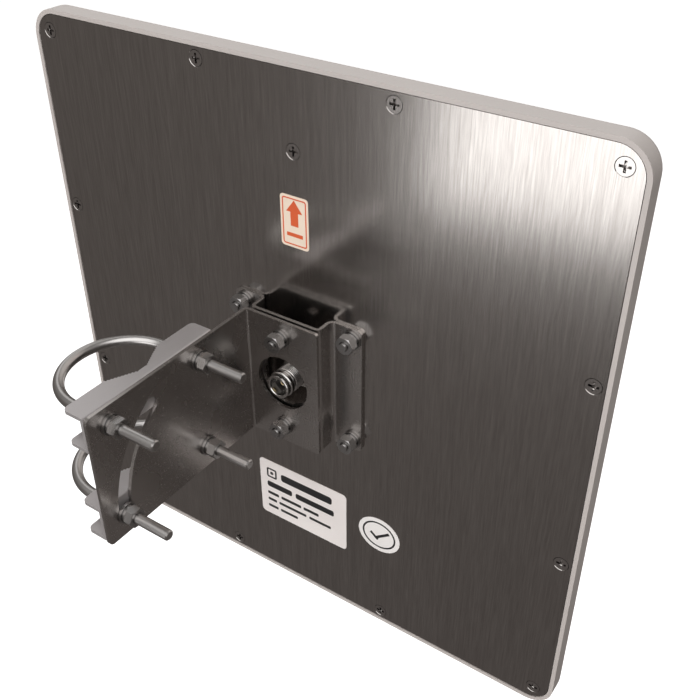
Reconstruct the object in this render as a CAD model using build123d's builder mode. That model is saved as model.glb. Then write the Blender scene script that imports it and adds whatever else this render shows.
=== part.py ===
from build123d import *
from math import asin, atan, cos, degrees, hypot, pi, radians, sin, tan
import os

os.makedirs("parts", exist_ok=True)

# Flat panel antenna with a tilting mast bracket, in millimetres.
# The origin is on the axis of the mast, level with the lower U-bolt.
# +X runs from the mast to the panel's centre, +Y is the way the antenna looks, +Z is up.

# ---- driving dimensions ----

# panel
panel_size = 360.0
panel_depth = 16.0
panel_corner_radius = 17.0
front_edge_radius = 5.5
cover_wall = 2.9
cover_front = 2.4
cover_ledge = 2.0
rim_height = 0.4
plate_thickness = 2.5
plate_seam = 0.45
gasket_thickness = 0.8
gasket_width = 13.0

# panel screws, M4 countersunk
screw_edge_inset = 8.8
screw_corner_inset = 12.2
screw_edge_spacing = 118.6
m4_radius = 2.0
m4_head_radius = 4.15
m4_head_angle = 90.0
m4_screw_length = 9.0
boss_radius = 4.4
earth_screw_height = 133.6
earth_screw_length = 6.0
clinch_nut_radius = 4.0
clinch_nut_height = 2.4

# mast, U-bolts and jaws
mast_radius = 22.0
rod_radius = 3.0
leg_spacing = 64.5
leg_tip_reach = 30.4
clamp_pitch = 59.2
jaw_length = 92.0
jaw_depth = 13.9
jaw_height = 21.6
jaw_corner_radius = 3.0
notch_half_width = 18.7
notch_floor_half_width = 2.5
notch_depth = 8.0
tooth_count = 10
tooth_depth = 0.8

# sheet brackets
sheet = 2.0
bend_inside_radius = 1.2
flange_bend_radius = 3.0
bracket_height = 83.6
bracket_above_clamp = 28.0
mast_to_plate = 90.6
arm_beyond_mast = 46.2
arm_corner_radius = 3.5
arm_to_connector = 23.2
hat_width = 86.8
hat_crown_width = 47.2
hat_depth = 13.9
hat_corner_radius = 3.0
foot_past_connector = 24.6
foot_spacer = 1.6
crown_hole_radius = 16.4
foot_hole_radius = 17.1
slot_half_width = 4.5
slot_sweep = 54.0

# where the brackets sit on the plate
bracket_off_centre_x = 0.9
bracket_off_centre_z = 1.3

# M6 bolts of the brackets
bracket_bolt_radius = 3.0
bracket_bolt_head_radius = 4.3
bracket_bolt_head_height = 2.6
bracket_bolt_washer_radius = 5.7
bracket_bolt_washer_height = 1.4
bracket_bolt_spring_height = 1.6
bracket_bolt_nut_flats = 10.0
bracket_bolt_nut_height = 5.0
bracket_bolt_tail = 1.3
flange_bolt_spacing_x = 74.0
flange_bolt_spacing_z = 70.0
crown_bolt_spacing = 61.0

# M6 nuts of the U-bolts
m6_washer_radius = 6.0
m6_washer_height = 1.6
m6_spring_height = 1.6
m6_nut_flats = 10.0
m6_nut_height = 5.0

# N connector
thread_radius = 7.94
mounting_thread_radius = 7.6
thread_gap = 1.0
connector_length = 22.2
front_ring_radius = 7.4
front_ring_length = 3.0
connector_bore_radius = 5.6
connector_bore_depth = 10.5
connector_flange_radius = 11.0
connector_flange_height = 2.0
connector_nut_flats = 19.0
connector_nut_height = 3.0
lock_washer_radius = 10.5
lock_washer_height = 0.8
insulator_radius = 3.6
insulator_recess = 3.5
contact_radius = 1.5
contact_bore_radius = 0.85
contact_recess = 5.0

# radiating elements inside the panel
patch_size = 54.0
patch_pitch = 84.0
patch_thickness = 0.8
patch_height = 5.0
feed_width = 6.0
feed_pad = 16.0
branch_width = 4.0
post_radius = 4.0
post_neck_radius = 1.6
post_head_radius = 2.8
post_head_height = 1.2

# labels
label_thickness = 0.2
up_label_size = (18.0, 30.0)
up_label_place = (0.4, 95.4)
data_label_size = (68.0, 47.0)
data_label_place = (-1.4, -107.0)
sticker_half_width = 14.8
sticker_half_height = 13.3
sticker_place = (56.9, -102.9)

# clearances
pivot_clearance = 0.08
rod_clearance = 0.05
bolt_clearance = 0.25
countersink_clearance = 0.4
head_sink = 0.1
thread_clearance = 0.03
slide_gap = 0.05
stop_gap = 0.25

# ---- places worked out from the dimensions ----

notch_half_angle = atan((notch_half_width - notch_floor_half_width) / notch_depth)
notch_floor_x = mast_radius / sin(notch_half_angle) - notch_floor_half_width / tan(notch_half_angle)
jaw_edge_x = notch_floor_x - notch_depth
arm_left_x = jaw_edge_x + jaw_depth
arm_right_x = arm_left_x + sheet

bracket_x = arm_right_x + arm_to_connector
bracket_z = bracket_above_clamp
bracket_bottom = bracket_z - bracket_height / 2
panel_x = bracket_x - bracket_off_centre_x
panel_z = bracket_z - bracket_off_centre_z

plate_y = mast_to_plate
plate_inner_y = plate_y + plate_thickness
plate_size = panel_size - 2 * cover_wall
crown_y = plate_y - hat_depth
foot_inner_y = crown_y - foot_spacer
foot_outer_y = foot_inner_y - sheet
panel_front_y = plate_y - rim_height + panel_depth
sheet_metal_y = plate_inner_y + patch_height

leg_y = leg_spacing / 2
loop_centre_x = leg_y - rod_radius - mast_radius
leg_tip_x = arm_right_x + leg_tip_reach


def facing_back(x, y, z):
    """Plane whose normal points out of the back of the panel."""
    return Plane(origin=(x, y, z), x_dir=(1, 0, 0), z_dir=(0, -1, 0))


def facing_front(x, y, z):
    """Plane whose normal points the way the antenna looks."""
    return Plane(origin=(x, y, z), x_dir=(-1, 0, 0), z_dir=(0, 1, 0))


def facing_right(x, y, z):
    """Plane whose normal points away from the arm, towards the connector."""
    return Plane(origin=(x, y, z), x_dir=(0, 1, 0), z_dir=(1, 0, 0))


# ---- small parts that are used more than once, each standing on the XY plane ----


def flat_washer(outer, height, bore):
    with BuildPart() as washer:
        with BuildSketch():
            Circle(outer)
            Circle(bore, mode=Mode.SUBTRACT)
        extrude(amount=height)
    return washer.part


def spring_washer(outer, height, bore):
    split_width = 0.9
    with BuildPart() as washer:
        with BuildSketch():
            Circle(outer)
            Circle(bore, mode=Mode.SUBTRACT)
            with Locations((outer / 2 + bore / 2, 0)):
                Rectangle(outer, split_width, rotation=30, mode=Mode.SUBTRACT)
        extrude(amount=height)
    return washer.part


def hex_nut(flats, height, bore):
    corner = flats / sqrt_three
    bevel = (corner - flats / 2) * 0.6
    with BuildPart() as nut:
        with BuildSketch():
            RegularPolygon(radius=flats / 2, side_count=6, major_radius=False)
        extrude(amount=height)
        with BuildSketch(Plane.XZ):
            with BuildLine():
                Polyline(
                    (0, 0),
                    (flats / 2, 0),
                    (corner, bevel),
                    (corner, height - bevel),
                    (flats / 2, height),
                    (0, height),
                    close=True,
                )
            make_face()
        revolve(axis=Axis.Z, mode=Mode.INTERSECT)
        with BuildSketch():
            Circle(bore)
        extrude(amount=height, mode=Mode.SUBTRACT)
    return nut.part


def pan_bolt(length):
    """Bracket bolt with a low head below the XY plane and its shank above it."""
    with BuildPart() as bolt:
        with BuildSketch():
            Circle(bracket_bolt_head_radius)
        extrude(amount=-bracket_bolt_head_height)
        fillet(bolt.faces().sort_by(Axis.Z)[0].edges(), radius=1.0)
        with BuildSketch():
            Circle(bracket_bolt_radius)
        extrude(amount=length)
        chamfer(bolt.faces().sort_by(Axis.Z)[-1].edges(), length=0.5)
    return bolt.part


def countersunk_screw(length):
    """M4 screw with its flat head on the XY plane and its shank below it."""
    recess_arm = 2.7
    recess_width = 1.3
    recess_depth = 1.8
    head_height = (m4_head_radius - m4_radius) / tan(radians(m4_head_angle / 2))
    with BuildPart() as screw:
        with BuildSketch():
            Circle(m4_radius)
        extrude(amount=-length)
        chamfer(screw.faces().sort_by(Axis.Z)[0].edges(), length=0.6)
        with BuildSketch():
            Circle(m4_head_radius)
        extrude(amount=-head_height, taper=m4_head_angle / 2)
        with BuildSketch():
            Rectangle(2 * recess_arm, recess_width)
            Rectangle(recess_width, 2 * recess_arm)
        extrude(amount=-recess_depth, mode=Mode.SUBTRACT)
    return screw.part


sqrt_three = hypot(1, 2 ** 0.5)


def stack(piece, planes):
    """Copies of one small part, standing on each of the planes."""
    with BuildPart() as group:
        with Locations(*planes):
            add(piece)
    return group


# ---- where the screws and bolts go ----

edge_inset = panel_size / 2 - screw_edge_inset
corner_inset = panel_size / 2 - screw_corner_inset
half_spacing = screw_edge_spacing / 2
corner_screws = [(sx * corner_inset, sz * corner_inset) for sx in (-1, 1) for sz in (-1, 1)]
side_screws = [(sx * edge_inset, sz * half_spacing) for sx in (-1, 1) for sz in (-1, 1)]
end_screws = [(sx * half_spacing, sz * edge_inset) for sx in (-1, 1) for sz in (-1, 1)]
screw_places = [(panel_x + x, panel_z + z) for x, z in corner_screws + side_screws + end_screws]
earth_place = (bracket_x, panel_z + earth_screw_height + bracket_off_centre_z)

flange_places = [
    (bracket_x + sx * flange_bolt_spacing_x / 2, bracket_z + sz * flange_bolt_spacing_z / 2)
    for sx in (-1, 1)
    for sz in (-1, 1)
]
crown_places = [(bracket_x, bracket_z + sz * crown_bolt_spacing / 2) for sz in (-1, 1)]
leg_places = [-leg_y, leg_y]

# ---- panel ----

with BuildPart() as radome_cover:
    with BuildSketch(Plane.XZ.offset(rim_height - plate_y)):
        with Locations((panel_x, panel_z)):
            RectangleRounded(panel_size, panel_size, panel_corner_radius)
    extrude(amount=-panel_depth)
    fillet(radome_cover.faces().sort_by(Axis.Y)[-1].edges(), radius=front_edge_radius)
    # rebate for the plate and the gasket
    rebate_size = plate_size + 2 * plate_seam
    rebate_radius = panel_corner_radius - cover_wall + plate_seam
    with BuildSketch(Plane.XZ.offset(rim_height - plate_y)):
        with Locations((panel_x, panel_z)):
            RectangleRounded(rebate_size, rebate_size, rebate_radius)
    extrude(amount=-(rim_height + plate_thickness + gasket_thickness), mode=Mode.SUBTRACT)
    # hollow behind the front wall
    ledge_y = plate_inner_y + gasket_thickness
    hollow_size = rebate_size - 2 * cover_ledge
    hollow_radius = rebate_radius - cover_ledge
    with BuildSketch(Plane.XZ.offset(-ledge_y)):
        with Locations((panel_x, panel_z)):
            RectangleRounded(hollow_size, hollow_size, hollow_radius)
    extrude(amount=-(panel_front_y - cover_front - ledge_y), mode=Mode.SUBTRACT)
    # screw bosses
    with BuildSketch(Plane.XZ.offset(-ledge_y)):
        with Locations(*screw_places):
            Circle(boss_radius)
    extrude(amount=-(panel_front_y - cover_front - ledge_y))
    with BuildSketch(Plane.XZ.offset(-ledge_y)):
        with Locations(*screw_places):
            Circle(m4_radius + thread_clearance)
    pilot_depth = m4_screw_length - plate_thickness - gasket_thickness + 0.5
    extrude(amount=-pilot_depth, mode=Mode.SUBTRACT)
radome_cover.part.label = "radome_cover"
export_step(radome_cover.part, "parts/radome_cover.step")

with BuildPart() as gasket:
    gasket_inner = plate_size - 2 * gasket_width
    with BuildSketch(Plane.XZ.offset(-plate_inner_y)):
        with Locations((panel_x, panel_z)):
            RectangleRounded(plate_size, plate_size, rebate_radius)
            RectangleRounded(gasket_inner, gasket_inner, hollow_radius, mode=Mode.SUBTRACT)
        with Locations(*screw_places):
            Circle(m4_radius + bolt_clearance, mode=Mode.SUBTRACT)
    extrude(amount=-gasket_thickness)
gasket.part.label = "gasket"
export_step(gasket.part, "parts/gasket.step")

with BuildPart() as back_plate:
    with BuildSketch(Plane.XZ.offset(-plate_y)):
        with Locations((panel_x, panel_z)):
            RectangleRounded(plate_size, plate_size, rebate_radius - plate_seam)
    extrude(amount=-plate_thickness)
    countersink_radius = m4_head_radius + countersink_clearance
    with Locations(*[facing_back(x, plate_y, z) for x, z in screw_places + [earth_place]]):
        CounterSinkHole(m4_radius + bolt_clearance, countersink_radius, plate_thickness, m4_head_angle)
    with Locations(*[facing_back(x, plate_y, z) for x, z in flange_places]):
        Hole(bracket_bolt_radius + bolt_clearance, plate_thickness)
    with Locations(facing_back(bracket_x, plate_y, bracket_z)):
        Hole(mounting_thread_radius + bolt_clearance, plate_thickness)
back_plate.part.label = "back_plate"
export_step(back_plate.part, "parts/back_plate.step")

panel_screws = stack(
    countersunk_screw(m4_screw_length),
    [facing_back(x, plate_y + head_sink, z) for x, z in screw_places],
)
panel_screws.part.label = "panel_screws"
export_step(panel_screws.part, "parts/panel_screws.step")

earth_screw = stack(
    countersunk_screw(earth_screw_length),
    [facing_back(earth_place[0], plate_y + head_sink, earth_place[1])],
)
earth_screw.part.label = "earth_screw"
export_step(earth_screw.part, "parts/earth_screw.step")

earth_clinch_nut = stack(
    flat_washer(clinch_nut_radius, clinch_nut_height, m4_radius + thread_clearance),
    [facing_front(earth_place[0], plate_inner_y, earth_place[1])],
)
earth_clinch_nut.part.label = "earth_clinch_nut"
export_step(earth_clinch_nut.part, "parts/earth_clinch_nut.step")

# ---- radiating elements ----

patch_steps = [-1.5, -0.5, 0.5, 1.5]
patch_places = [
    (bracket_x + i * patch_pitch, bracket_z + j * patch_pitch) for i in patch_steps for j in patch_steps
]
branch_centres = [
    (bracket_x + sx * patch_pitch, bracket_z + sz * patch_pitch) for sx in (-1, 1) for sz in (-1, 1)
]

with BuildPart() as radiator_sheet:
    with BuildSketch(Plane.XZ.offset(-sheet_metal_y)):
        with Locations(*patch_places):
            Rectangle(patch_size, patch_size)
        with Locations((bracket_x, bracket_z)):
            Rectangle(2 * patch_pitch, feed_width)
            Rectangle(feed_pad, feed_pad)
        with Locations((bracket_x - patch_pitch, bracket_z), (bracket_x + patch_pitch, bracket_z)):
            Rectangle(feed_width, 2 * patch_pitch)
        with Locations(*branch_centres):
            Rectangle(patch_pitch, branch_width)
        with Locations(*[(x + s * patch_pitch / 2, z) for x, z in branch_centres for s in (-1, 1)]):
            Rectangle(branch_width, patch_pitch - patch_size + 2 * branch_width)
        with Locations(*patch_places):
            Circle(post_neck_radius + bolt_clearance, mode=Mode.SUBTRACT)
        with Locations((bracket_x, bracket_z)):
            Circle(contact_radius + rod_clearance, mode=Mode.SUBTRACT)
    extrude(amount=-patch_thickness)
radiator_sheet.part.label = "radiator_sheet"
export_step(radiator_sheet.part, "parts/radiator_sheet.step")


def snap_post():
    """Nylon post that carries the sheet, with a snap head above it."""
    with BuildPart() as post:
        with BuildSketch():
            Circle(post_radius)
        extrude(amount=patch_height)
        with BuildSketch(Plane.XY.offset(patch_height)):
            Circle(post_neck_radius)
        extrude(amount=patch_thickness)
        with BuildSketch(Plane.XY.offset(patch_height + patch_thickness)):
            Circle(post_head_radius)
        extrude(amount=post_head_height)
        chamfer(post.faces().sort_by(Axis.Z)[-1].edges(), length=0.6)
    return post.part


radiator_posts = stack(snap_post(), [facing_front(x, plate_inner_y, z) for x, z in patch_places])
radiator_posts.part.label = "radiator_posts"
export_step(radiator_posts.part, "parts/radiator_posts.step")

# ---- N connector, built about the Z axis with its flange below the XY plane ----

with BuildPart() as connector_shape:
    step_groove = 0.45
    shoulder_length = 3.6
    thread_start = connector_length - front_ring_length - shoulder_length
    thread_back = lock_washer_height + connector_nut_height + thread_gap
    with BuildSketch(Plane.XZ):
        with BuildLine():
            Polyline(
                (insulator_radius, -plate_thickness - connector_flange_height),
                (connector_flange_radius, -plate_thickness - connector_flange_height),
                (connector_flange_radius, -plate_thickness),
                (mounting_thread_radius, -plate_thickness),
                (mounting_thread_radius, thread_back),
                (thread_radius, thread_back),
                (thread_radius, thread_start),
                (thread_radius - step_groove, thread_start),
                (thread_radius - step_groove, thread_start + 1.0),
                (thread_radius, thread_start + 1.0),
                (thread_radius, thread_start + shoulder_length - 0.6),
                (thread_radius - 0.6, thread_start + shoulder_length),
                (front_ring_radius - step_groove, thread_start + shoulder_length),
                (front_ring_radius - step_groove, thread_start + shoulder_length + 0.8),
                (front_ring_radius, thread_start + shoulder_length + 0.8),
                (front_ring_radius, connector_length - 0.4),
                (front_ring_radius - 0.4, connector_length),
                (connector_bore_radius + 0.4, connector_length),
                (connector_bore_radius, connector_length - 0.4),
                (connector_bore_radius, connector_length - connector_bore_depth),
                (insulator_radius, connector_length - connector_bore_depth),
                close=True,
            )
        make_face()
    revolve(axis=Axis.Z)

connector_body = stack(connector_shape.part, [facing_back(bracket_x, plate_y, bracket_z)])
connector_body.part.label = "connector_body"
export_step(connector_body.part, "parts/connector_body.step")

with BuildPart() as insulator_shape:
    sleeve_radius = connector_bore_radius - 2.1
    insulator_back = -plate_thickness - connector_flange_height
    with BuildSketch(Plane.XY.offset(insulator_back)):
        Circle(insulator_radius)
        Circle(contact_radius, mode=Mode.SUBTRACT)
    extrude(amount=connector_length - connector_bore_depth - insulator_back)
    with BuildSketch(Plane.XY.offset(connector_length - connector_bore_depth)):
        Circle(sleeve_radius)
        Circle(contact_radius, mode=Mode.SUBTRACT)
    extrude(amount=connector_bore_depth - insulator_recess - 3.0)

connector_insulator = stack(insulator_shape.part, [facing_back(bracket_x, plate_y, bracket_z)])
connector_insulator.part.label = "connector_insulator"
export_step(connector_insulator.part, "parts/connector_insulator.step")

with BuildPart() as contact_shape:
    contact_back = -plate_thickness - patch_height - patch_thickness - 0.6
    contact_front = connector_length - contact_recess
    with BuildSketch(Plane.XY.offset(contact_back)):
        Circle(contact_radius)
    extrude(amount=contact_front - contact_back)
    with BuildSketch(Plane.XY.offset(contact_front)):
        Circle(contact_bore_radius)
        Rectangle(2 * contact_radius + 1, 0.35)
    extrude(amount=-4.0, mode=Mode.SUBTRACT)

connector_contact = stack(contact_shape.part, [facing_back(bracket_x, plate_y, bracket_z)])
connector_contact.part.label = "connector_contact"
export_step(connector_contact.part, "parts/connector_contact.step")

mounting_bore = mounting_thread_radius + thread_clearance
lock_washer_shape = spring_washer(lock_washer_radius, lock_washer_height, mounting_bore)
connector_lock_washer = stack(lock_washer_shape, [facing_back(bracket_x, plate_y, bracket_z)])
connector_lock_washer.part.label = "connector_lock_washer"
export_step(connector_lock_washer.part, "parts/connector_lock_washer.step")

connector_nut_shape = hex_nut(connector_nut_flats, connector_nut_height, mounting_bore)
connector_nut = stack(
    connector_nut_shape,
    [facing_back(bracket_x, plate_y - lock_washer_height, bracket_z)],
)
connector_nut.part.label = "connector_nut"
export_step(connector_nut.part, "parts/connector_nut.step")

# ---- hat bracket on the plate ----


def upright_edge(builder, x, y):
    """The edge parallel to Z that passes nearest to a place in plan."""
    return builder.edges().filter_by(Axis.Z).sort_by_distance(Vector(x, y, bracket_z))[0]


with BuildPart() as hat_bracket:
    half_hat = hat_width / 2
    half_crown = hat_crown_width / 2
    flange_y = plate_y - sheet
    with BuildSketch(Plane.XY.offset(bracket_bottom)):
        with BuildLine():
            Polyline(
                (bracket_x - half_hat, plate_y),
                (bracket_x - half_hat, flange_y),
                (bracket_x - half_crown, flange_y),
                (bracket_x - half_crown, crown_y),
                (bracket_x + half_crown, crown_y),
                (bracket_x + half_crown, flange_y),
                (bracket_x + half_hat, flange_y),
                (bracket_x + half_hat, plate_y),
                (bracket_x + half_crown - sheet, plate_y),
                (bracket_x + half_crown - sheet, crown_y + sheet),
                (bracket_x - half_crown + sheet, crown_y + sheet),
                (bracket_x - half_crown + sheet, plate_y),
                close=True,
            )
        make_face()
    extrude(amount=bracket_height)
    for side in (-1, 1):
        leg_outer = bracket_x + side * half_crown
        leg_inner = bracket_x + side * (half_crown - sheet)
        fillet(upright_edge(hat_bracket, leg_outer, flange_y), radius=flange_bend_radius)
        fillet(upright_edge(hat_bracket, leg_inner, plate_y), radius=flange_bend_radius + sheet)
        fillet(upright_edge(hat_bracket, leg_outer, crown_y), radius=bend_inside_radius + sheet)
        fillet(upright_edge(hat_bracket, leg_inner, crown_y + sheet), radius=bend_inside_radius)
    flange_ends = hat_bracket.edges().filter_by(Axis.Y).group_by(SortBy.LENGTH)[0]
    outer_ends = flange_ends.filter_by(lambda e: abs(e.center().X - bracket_x) > half_hat - 0.1)
    fillet(outer_ends, hat_corner_radius)
    with Locations(*[facing_back(x, flange_y, z) for x, z in flange_places]):
        Hole(bracket_bolt_radius + bolt_clearance, sheet)
    with Locations(*[facing_back(x, crown_y, z) for x, z in crown_places]):
        Hole(bracket_bolt_radius + bolt_clearance, sheet)
    with Locations(facing_back(bracket_x, crown_y, bracket_z)):
        Hole(crown_hole_radius, sheet)
hat_bracket.part.label = "hat_bracket"
export_step(hat_bracket.part, "parts/hat_bracket.step")

bracket_bolt_stack = bracket_bolt_washer_height + bracket_bolt_spring_height + bracket_bolt_nut_height
flange_bolt_length = plate_thickness + sheet + bracket_bolt_stack + bracket_bolt_tail
flange_bolt_heads = [facing_back(x, plate_inner_y, z) for x, z in flange_places]
flange_bolts = stack(pan_bolt(flange_bolt_length), flange_bolt_heads)
flange_bolts.part.label = "flange_bolts"
export_step(flange_bolts.part, "parts/flange_bolts.step")


def fasten(places, plane_of, seat, heights, sizes, bore):
    """Flat washers, spring washers and nuts stacked outwards from a seat."""
    washer_height, spring_height, nut_height = heights
    washer_outer, spring_outer, nut_flats = sizes
    flats = stack(flat_washer(washer_outer, washer_height, bore), [plane_of(p, seat) for p in places])
    seat += washer_height
    springs = stack(spring_washer(spring_outer, spring_height, bore), [plane_of(p, seat) for p in places])
    seat += spring_height
    nuts = stack(hex_nut(nut_flats, nut_height, bore), [plane_of(p, seat) for p in places])
    return {"flat_washers": flats, "spring_washers": springs, "nuts": nuts}


bracket_bolt_heights = (bracket_bolt_washer_height, bracket_bolt_spring_height, bracket_bolt_nut_height)
bracket_bolt_sizes = (bracket_bolt_washer_radius, bracket_bolt_washer_radius - 0.8, bracket_bolt_nut_flats)
bracket_bolt_bore = bracket_bolt_radius + thread_clearance
bracket_bolt_set = (bracket_bolt_heights, bracket_bolt_sizes, bracket_bolt_bore)
m6_heights = (m6_washer_height, m6_spring_height, m6_nut_height)
m6_sizes = (m6_washer_radius, m6_washer_radius - 0.9, m6_nut_flats)
m6_bore = rod_radius + rod_clearance


def off_flange(place, seat):
    return facing_back(place[0], flange_y - seat, place[1])


def off_foot(place, seat):
    return facing_back(place[0], foot_outer_y - seat, place[1])


for kind, group in fasten(flange_places, off_flange, 0, *bracket_bolt_set).items():
    group.part.label = f"flange_{kind}"
    export_step(group.part, f"parts/flange_{kind}.step")

for kind, group in fasten(crown_places, off_foot, 0, *bracket_bolt_set).items():
    group.part.label = f"crown_{kind}"
    export_step(group.part, f"parts/crown_{kind}.step")

crown_bolt_length = 2 * sheet + foot_spacer + sum(bracket_bolt_heights) + bracket_bolt_tail
crown_bolts = stack(
    pan_bolt(crown_bolt_length),
    [facing_back(x, crown_y + sheet, z) for x, z in crown_places],
)
crown_bolts.part.label = "crown_bolts"
export_step(crown_bolts.part, "parts/crown_bolts.step")

crown_spacers = stack(
    flat_washer(bracket_bolt_washer_radius, foot_spacer, bracket_bolt_radius + bolt_clearance),
    [facing_back(x, crown_y, z) for x, z in crown_places],
)
crown_spacers.part.label = "crown_spacers"
export_step(crown_spacers.part, "parts/crown_spacers.step")

# ---- tilt bracket: a foot on the crown and an arm towards the mast ----

with BuildPart() as tilt_bracket:
    foot_right = bracket_x + foot_past_connector
    with BuildSketch(Plane.XY.offset(bracket_bottom)):
        with BuildLine():
            Polyline(
                (arm_left_x, -arm_beyond_mast),
                (arm_right_x, -arm_beyond_mast),
                (arm_right_x, foot_outer_y),
                (foot_right, foot_outer_y),
                (foot_right, foot_inner_y),
                (arm_left_x, foot_inner_y),
                close=True,
            )
        make_face()
    extrude(amount=bracket_height)
    fillet(upright_edge(tilt_bracket, arm_right_x, foot_outer_y), radius=bend_inside_radius)
    fillet(upright_edge(tilt_bracket, arm_left_x, foot_inner_y), radius=bend_inside_radius + sheet)
    arm_end = tilt_bracket.faces().sort_by(Axis.Y)[0]
    fillet(arm_end.edges().filter_by(Axis.X), radius=arm_corner_radius)
    foot_end = tilt_bracket.faces().sort_by(Axis.X)[-1]
    fillet(foot_end.edges().filter_by(Axis.Y), radius=hat_corner_radius / 2)
    with Locations(*[facing_back(x, foot_outer_y, z) for x, z in crown_places]):
        Hole(bracket_bolt_radius + bolt_clearance, sheet)
    with Locations(facing_back(bracket_x, foot_outer_y, bracket_z)):
        Hole(foot_hole_radius, sheet)
    # holes for the upper U-bolt, the pivot hole and the arc slot about it
    with Locations(*[facing_right(arm_right_x, y, clamp_pitch) for y in leg_places]):
        Hole(rod_radius + bolt_clearance, sheet)
    with Locations(facing_right(arm_right_x, leg_y, 0)):
        Hole(rod_radius + pivot_clearance, sheet)
    slot_start = 180 - degrees((slot_half_width - rod_radius - stop_gap) / leg_spacing)
    slot_end = slot_start - slot_sweep
    with BuildSketch(Plane.YZ.offset(arm_left_x)):
        with BuildLine():
            slot_middle = CenterArc((leg_y, 0), leg_spacing, slot_start, -slot_sweep, mode=Mode.PRIVATE)
            CenterArc((leg_y, 0), leg_spacing + slot_half_width, slot_start, -slot_sweep)
            CenterArc((leg_y, 0), leg_spacing - slot_half_width, slot_start, -slot_sweep)
            CenterArc(slot_middle @ 0, slot_half_width, slot_start, 180)
            CenterArc(slot_middle @ 1, slot_half_width, slot_end + 180, 180)
        make_face()
    extrude(amount=sheet, mode=Mode.SUBTRACT)
tilt_bracket.part.label = "tilt_bracket"
export_step(tilt_bracket.part, "parts/tilt_bracket.step")

# ---- mast clamps ----


def notch_teeth():
    """Points along the notch, from its wide end down one side to the floor and up the other."""
    side = hypot(notch_half_width - notch_floor_half_width, notch_depth)
    pitch = side / tooth_count
    along = (sin(notch_half_angle), cos(notch_half_angle))
    points = []
    for tooth in range(tooth_count):
        tip = tooth * pitch
        valley = tip + pitch / 2
        tip_y = notch_half_width - tip * along[0]
        tip_x = jaw_edge_x + tip * along[1]
        valley_y = notch_half_width - valley * along[0] + tooth_depth * along[1]
        valley_x = jaw_edge_x + valley * along[1] + tooth_depth * along[0]
        points += [(tip_x, tip_y), (valley_x, valley_y)]
    points.append((notch_floor_x, notch_floor_half_width))
    return points + [(x, -y) for x, y in reversed(points)]


def toothed_jaw(height, gap):
    """Channel that holds the mast in the notches of its two flanges."""
    web_x = arm_left_x - gap
    low = height - jaw_height / 2
    half = jaw_length / 2
    with BuildPart() as jaw:
        with BuildSketch(Plane.XY.offset(low)):
            with BuildLine():
                Polyline(
                    (web_x, half),
                    (jaw_edge_x, half),
                    *notch_teeth(),
                    (jaw_edge_x, -half),
                    (web_x, -half),
                    close=True,
                )
            make_face()
        extrude(amount=jaw_height)
        with BuildSketch(Plane.XY.offset(low + sheet)):
            with Locations((web_x - sheet - jaw_depth / 2, 0)):
                Rectangle(jaw_depth, jaw_length + sheet)
        extrude(amount=jaw_height - 2 * sheet, mode=Mode.SUBTRACT)
        web_corners = jaw.faces().sort_by(Axis.X)[-1].edges().filter_by(Axis.Y)
        fillet(web_corners, radius=bend_inside_radius)
        tips = jaw.edges().filter_by(Axis.Z).filter_by(
            lambda e: abs(e.center().Y) > half - 0.1 and e.center().X < jaw_edge_x + 0.1
        )
        fillet(tips, radius=jaw_corner_radius)
        with Locations(*[facing_right(web_x, y, height) for y in leg_places]):
            Hole(rod_radius + pivot_clearance, sheet)
    return jaw


upper_jaw = toothed_jaw(clamp_pitch, 0)
upper_jaw.part.label = "upper_jaw"
export_step(upper_jaw.part, "parts/upper_jaw.step")

lower_jaw = toothed_jaw(0, slide_gap)
lower_jaw.part.label = "lower_jaw"
export_step(lower_jaw.part, "parts/lower_jaw.step")


def u_bolt(height):
    """Round rod bent round the mast, with its two legs through the jaw and the arm."""
    with BuildPart() as rod:
        with BuildLine(Plane.XY.offset(height)) as path:
            Line((leg_tip_x, leg_y), (loop_centre_x, leg_y))
            ThreePointArc((loop_centre_x, leg_y), (loop_centre_x - leg_y, 0), (loop_centre_x, -leg_y))
            Line((loop_centre_x, -leg_y), (leg_tip_x, -leg_y))
        with BuildSketch(Plane(origin=path.line @ 0, z_dir=path.line % 0)):
            Circle(rod_radius)
        sweep(path=path.line)
        chamfer(rod.faces().filter_by(Axis.X).edges(), length=0.7)
    return rod


upper_u_bolt = u_bolt(clamp_pitch)
upper_u_bolt.part.label = "upper_u_bolt"
export_step(upper_u_bolt.part, "parts/upper_u_bolt.step")

lower_u_bolt = u_bolt(0)
lower_u_bolt.part.label = "lower_u_bolt"
export_step(lower_u_bolt.part, "parts/lower_u_bolt.step")


def off_upper_arm(y, seat):
    return facing_right(arm_right_x + seat, y, clamp_pitch)


def off_lower_arm(y, seat):
    return facing_right(arm_right_x + seat, y, 0)


for kind, group in fasten(leg_places, off_upper_arm, 0, m6_heights, m6_sizes, m6_bore).items():
    group.part.label = f"upper_{kind}"
    export_step(group.part, f"parts/upper_{kind}.step")

for kind, group in fasten(leg_places, off_lower_arm, slide_gap, m6_heights, m6_sizes, m6_bore).items():
    group.part.label = f"lower_{kind}"
    export_step(group.part, f"parts/lower_{kind}.step")

# ---- labels on the back of the plate ----


def label_plane():
    return Plane.XZ.offset(-plate_y)


with BuildPart() as up_label:
    with BuildSketch(label_plane()):
        with Locations((panel_x + up_label_place[0], panel_z + up_label_place[1])):
            RectangleRounded(*up_label_size, 2.0)
    extrude(amount=label_thickness)
up_label.part.label = "up_label"
export_step(up_label.part, "parts/up_label.step")

with BuildPart() as data_label:
    with BuildSketch(label_plane()):
        with Locations((panel_x + data_label_place[0], panel_z + data_label_place[1])):
            RectangleRounded(*data_label_size, 3.0)
    extrude(amount=label_thickness)
data_label.part.label = "data_label"
export_step(data_label.part, "parts/data_label.step")

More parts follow.
